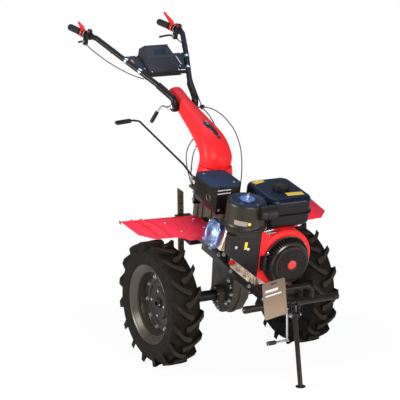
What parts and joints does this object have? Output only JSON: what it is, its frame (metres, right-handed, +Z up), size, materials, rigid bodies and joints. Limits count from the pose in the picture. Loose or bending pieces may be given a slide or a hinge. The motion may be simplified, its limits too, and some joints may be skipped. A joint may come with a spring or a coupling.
{
  "type": "walk-behind garden tiller",
  "caption": "Walk-behind garden tiller on farm tyres, with petrol engine, wheel wings, swan-neck steering column, long handlebars and a front prop stand.",
  "frame": {"origin": "on the ground, below the middle of the machine's length and width, as it stands parked", "axes": "+X forward from the handlebars to the bumper, +Y to the machine's left, +Z up"},
  "size_m": [1.8198, 1.0458, 1.544],
  "materials": {
    "red_paint": "gloss",
    "frame_black": "satin",
    "case_black": "satin",
    "engine_casting": "cast",
    "chrome": "polished",
    "zinc": "zinc plated",
    "black_plastic": "matte",
    "black_gloss": "gloss",
    "heat_steel": "heat stained",
    "guard_black": "satin",
    "tank_black": "gloss",
    "handle_black": "satin",
    "console_black": "satin",
    "grip_rubber": "ribbed",
    "red_plastic": "gloss",
    "cable_black": "satin",
    "card": "matte",
    "tyre": "moulded",
    "rim_black": "satin",
    "hub_steel": "oiled"
  },
  "bodies": {
    "chassis": {"gearbox": "case_black", "frame_rails": "frame_black", "rail_spacers": "zinc", "engine_block": "engine_casting", "cylinder_head": "engine_casting", "rocker_cover": "chrome", "fan_shroud": "red_paint", "recoil_starter": "black_plastic", "starter_grip": "black_plastic", "air_cleaner_base": "black_plastic", "air_cleaner": "black_gloss", "air_cleaner_nut": "chrome", "air_intake": "black_gloss", "muffler": "heat_steel", "muffler_guard": "guard_black", "fuel_tank": "tank_black", "tank_brackets": "frame_black", "fuel_cap": "black_plastic", "fender_right": "red_paint", "fender_left": "red_paint", "fender_brackets": "frame_black", "hitch": "frame_black", "depth_stake": "frame_black", "stake_pin": "zinc", "bumper": "frame_black", "stand_release": "zinc", "hang_tag": "card", "column_base": "red_paint", "gear_lever": "zinc", "cable_throttle_lower": "cable_black", "cable_reverse_lower": "cable_black", "cable_brake_lower": "cable_black"},
    "column": {"steering_column": "red_paint", "column_lock": "black_plastic", "cable_clip": "black_plastic", "cable_clutch_lower": "cable_black"},
    "handlebar": {"handlebar": "handle_black", "grips": "grip_rubber", "console": "console_black", "lever_brackets": "black_plastic", "hand_levers": "black_plastic", "thumb_levers": "red_plastic", "clamp_lever": "zinc", "cable_throttle_upper": "cable_black", "cable_reverse_upper": "cable_black"},
    "stand": {"stand_leg": "frame_black"},
    "wheel_left": {"tyre_left": "tyre", "rim_left": "rim_black", "axle_left": "hub_steel"},
    "wheel_right": {"tyre_right": "tyre", "rim_right": "rim_black", "axle_right": "hub_steel"}
  },
  "joints": [
    {"name": "wheel_left_spin", "type": "hinge", "parent": "chassis", "child": "wheel_left", "pos_m": [0.25126, 0, 0.295], "axis": [0, 1, 0], "continuous": true},
    {"name": "wheel_right_spin", "type": "hinge", "parent": "chassis", "child": "wheel_right", "pos_m": [0.25126, 0, 0.295], "axis": [0, 1, 0], "continuous": true},
    {"name": "stand_fold", "type": "hinge", "parent": "chassis", "child": "stand", "pos_m": [0.8383, 0, 0.32163], "axis": [0, 1, 0], "range_deg": [0, 95]},
    {"name": "column_swivel", "type": "hinge", "parent": "chassis", "child": "column", "pos_m": [0.13754, 0, 0.89599], "axis": [0.225, 0, 0.9744], "range_deg": [-15, 15], "deforming": ["cable_throttle_lower", "cable_reverse_lower", "cable_brake_lower"]},
    {"name": "handlebar_tilt", "type": "hinge", "parent": "column", "child": "handlebar", "pos_m": [-0.16023, 0, 1.14433], "axis": [0, 1, 0], "range_deg": [-12, 12], "deforming": ["cable_throttle_upper"]}
  ]
}
